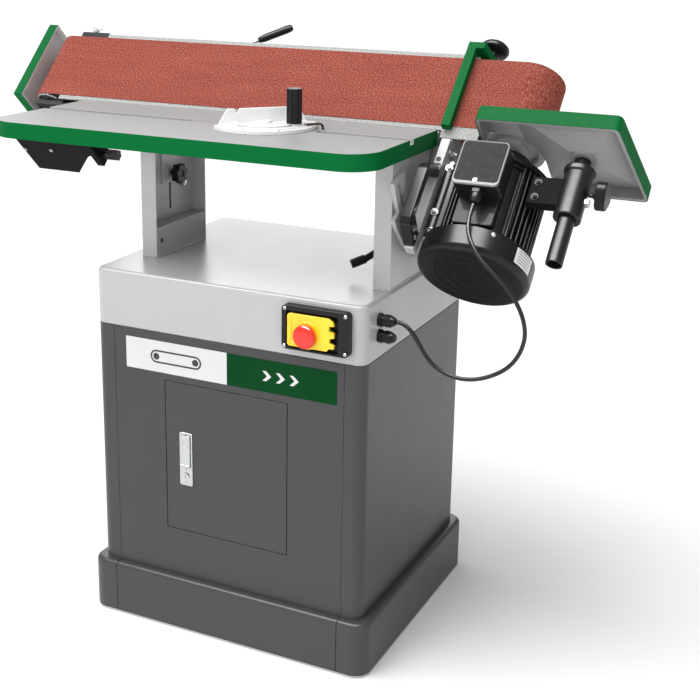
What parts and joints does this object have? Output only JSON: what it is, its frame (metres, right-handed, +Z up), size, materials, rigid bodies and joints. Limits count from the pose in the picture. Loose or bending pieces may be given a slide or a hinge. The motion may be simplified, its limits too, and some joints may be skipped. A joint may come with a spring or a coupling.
{
  "type": "edge belt sander",
  "caption": "Stationary edge belt sander: cabinet stand, table with mitre gauge, and a tilting head with motor, drum, idler and end table.",
  "frame": {"origin": "centre of the plinth underside", "axes": "+X runs along the table front to the motor end, +Y points from the door to the back, +Z is up"},
  "size_m": [1.3003, 0.5566, 1.0662],
  "materials": {
    "dark_paint": "satin",
    "light_paint": "satin",
    "table_paint": "satin",
    "green_paint": "satin",
    "black_paint": "satin",
    "black_plastic": "satin",
    "steel": "brushed",
    "gauge_metal": "satin",
    "graphite": "matte",
    "abrasive": "gritty",
    "yellow_plastic": "gloss",
    "red_plastic": "gloss",
    "green_plastic": "gloss",
    "cable_rubber": "satin"
  },
  "bodies": {
    "stand": {"plinth": "dark_paint", "cabinet_floor": "dark_paint", "side_panel_left": "dark_paint", "side_panel_right": "dark_paint", "back_panel": "dark_paint", "front_panel": "dark_paint", "top_cover": "light_paint", "switch_plate": "black_plastic", "switch_body": "black_plastic", "cable_gland_upper": "black_plastic", "cable_gland_lower": "black_plastic", "column_left": "light_paint", "column_right": "light_paint", "column_plate_left": "light_paint", "table_bracket_left": "light_paint", "table_bracket_right": "light_paint", "table_top": "table_paint", "tilt_stud": "steel", "motor_cable": "cable_rubber"},
    "door": {"door": "dark_paint", "lock_plate": "steel"},
    "lock_paddle": {"lock_paddle": "steel"},
    "switch_flap": {"switch_flap": "yellow_plastic"},
    "stop_button": {"stop_button": "red_plastic"},
    "start_button": {"start_button": "green_plastic"},
    "table_knob": {"table_knob": "black_plastic"},
    "tilt_lock_lever": {"tilt_lock_lever": "black_plastic"},
    "mitre_slide": {"mitre_bar": "steel"},
    "mitre_head": {"mitre_head": "gauge_metal"},
    "mitre_handle": {"mitre_handle": "black_plastic"},
    "head": {"head_frame": "light_paint", "platen_pad": "graphite", "motor_bracket": "light_paint", "trunnion_plate": "light_paint", "sanding_belt": "abrasive", "motor_housing": "black_paint", "motor_front_shield": "black_paint", "motor_rear_shield": "black_paint", "fan_cover": "black_paint", "terminal_box": "black_plastic", "terminal_lid": "black_plastic", "terminal_gland": "black_plastic", "tilt_handle": "black_plastic", "dust_hood": "black_paint", "end_guard": "green_paint", "post_sleeve": "black_paint", "tension_spring": "steel"},
    "drive": {"drive_drum": "steel", "motor_rotor": "steel", "motor_fan": "black_plastic"},
    "idler_carriage": {"idler_carriage": "black_paint", "idler_shaft": "steel"},
    "idler_roller": {"idler_roller": "steel"},
    "tension_lever": {"tension_lever": "black_plastic"},
    "tracking_knob": {"tracking_knob": "black_plastic"},
    "stop_fence": {"stop_fence": "green_paint"},
    "fence_knob": {"stop_knob": "black_plastic"},
    "end_table": {"end_table": "table_paint", "end_table_post": "black_paint"},
    "end_table_knob": {"end_table_knob": "black_plastic"}
  },
  "joints": [
    {"name": "head_tilt", "type": "hinge", "parent": "stand", "child": "head", "pos_m": [0, 0.053, 0.915], "axis": [1, 0, 0], "range_deg": [0, 45], "deforming": ["motor_cable"]},
    {"name": "drive_spin", "type": "hinge", "parent": "head", "child": "drive", "pos_m": [0.3895, 0.12993, 0.90878], "axis": [0, 0.7071, 0.7071], "continuous": true},
    {"name": "idler_slide", "type": "slide", "parent": "head", "child": "idler_carriage", "axis": [1, 0, 0], "range_m": [0, 0.008], "deforming": ["tension_spring"]},
    {"name": "idler_spin", "type": "hinge", "parent": "idler_carriage", "child": "idler_roller", "pos_m": [-0.584, 0.13644, 0.95036], "axis": [0, 0.7071, 0.7071], "continuous": true},
    {"name": "tension_lever_turn", "type": "hinge", "parent": "head", "child": "tension_lever", "pos_m": [-0.236, 0.21104, 1.0094], "axis": [0, -0.7071, 0.7071], "range_deg": [0, 120]},
    {"name": "tracking_turn", "type": "hinge", "parent": "head", "child": "tracking_knob", "pos_m": [-0.47, 0.11523, 0.79621], "axis": [1, 0, 0], "range_deg": [-180, 180]},
    {"name": "fence_slide", "type": "slide", "parent": "head", "child": "stop_fence", "axis": [1, 0, 0], "range_m": [-0.15, 0]},
    {"name": "fence_knob_turn", "type": "hinge", "parent": "stop_fence", "child": "fence_knob", "pos_m": [0.309, 0.21846, 1.03238], "axis": [0, 0.7071, 0.7071], "range_deg": [0, 180]},
    {"name": "end_table_slide", "type": "slide", "parent": "head", "child": "end_table", "axis": [0, 0.7071, 0.7071], "range_m": [-0.012, 0.05]},
    {"name": "end_table_knob_turn", "type": "hinge", "parent": "head", "child": "end_table_knob", "pos_m": [0.56, -0.01912, 0.84288], "axis": [1, 0, 0], "range_deg": [0, 180]},
    {"name": "tilt_lock_turn", "type": "hinge", "parent": "stand", "child": "tilt_lock_lever", "pos_m": [0.246, -0.015, 0.7451], "axis": [1, 0, 0], "range_deg": [-50, 10]},
    {"name": "table_knob_turn", "type": "hinge", "parent": "stand", "child": "table_knob", "pos_m": [-0.21, -0.033, 0.808], "axis": [1, 0, 0], "range_deg": [0, 180]},
    {"name": "mitre_slide", "type": "slide", "parent": "stand", "child": "mitre_slide", "axis": [1, 0, 0], "range_m": [-0.32, 0.16]},
    {"name": "mitre_swivel", "type": "hinge", "parent": "mitre_slide", "child": "mitre_head", "pos_m": [-0.006, -0.07, 0.915], "axis": [0, 0, 1], "range_deg": [-15, 105]},
    {"name": "mitre_handle_turn", "type": "hinge", "parent": "mitre_slide", "child": "mitre_handle", "pos_m": [0.052, -0.07, 0.95], "axis": [0, 0, 1], "range_deg": [0, 180]},
    {"name": "door_hinge", "type": "hinge", "parent": "stand", "child": "door", "pos_m": [0.1225, -0.231, 0.335], "axis": [0, 0, 1], "range_deg": [0, 110]},
    {"name": "lock_paddle_pull", "type": "hinge", "parent": "door", "child": "lock_paddle", "pos_m": [-0.078, -0.2342, 0.323], "axis": [1, 0, 0], "range_deg": [0, 30], "stiffness_Nm_per_rad": 0.05},
    {"name": "switch_flap_lift", "type": "hinge", "parent": "stand", "child": "switch_flap", "pos_m": [0.176, -0.246, 0.6445], "axis": [-1, 0, 0], "range_deg": [0, 90]},
    {"name": "stop_press", "type": "slide", "parent": "switch_flap", "child": "stop_button", "axis": [0, 1, 0], "range_m": [0, 0.003], "stiffness_N_per_m": 800},
    {"name": "start_press", "type": "slide", "parent": "stand", "child": "start_button", "axis": [0, 1, 0], "range_m": [0, 0.002], "stiffness_N_per_m": 800}
  ],
  "couplings": [
    {"joint": "idler_spin", "follows": "drive_spin", "ratio": 1.7425},
    {"joint": "tension_lever_turn", "follows": "idler_slide", "rad_per_m": 261.8}
  ]
}
